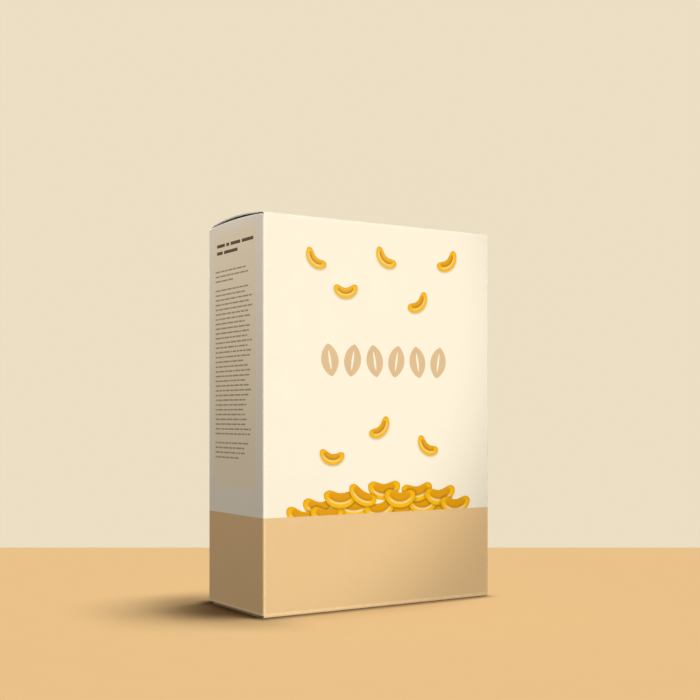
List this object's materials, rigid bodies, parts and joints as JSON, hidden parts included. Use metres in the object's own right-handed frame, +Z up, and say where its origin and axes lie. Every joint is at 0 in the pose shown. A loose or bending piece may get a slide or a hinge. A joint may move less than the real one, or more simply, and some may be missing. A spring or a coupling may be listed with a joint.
{
  "type": "cereal box",
  "caption": "Tall shut folding carton for breakfast cereal, with a wide band around its base and softly bowed flaps over a thin slit on top.",
  "frame": {"origin": "centre of the carton's footprint, on the surface it stands on", "axes": "+Z up along the carton's height, +Y from the wide front panel to the wide back panel, +X to the right as the front is looked at"},
  "size_m": [0.19, 0.083, 0.2728],
  "materials": {
    "cream_print": "coated board printed cream, satin",
    "tan_print": "coated board printed tan, satin",
    "panel_print": "coated board printed pale tan, satin",
    "raw_board": "uncoated cut edge and inside of the board, matt",
    "yellow_print": "coated board printed yellow, satin",
    "brown_print": "coated board printed brown, satin"
  },
  "bodies": {
    "root": {"carton": "cream_print"}
  },
  "joints": []
}
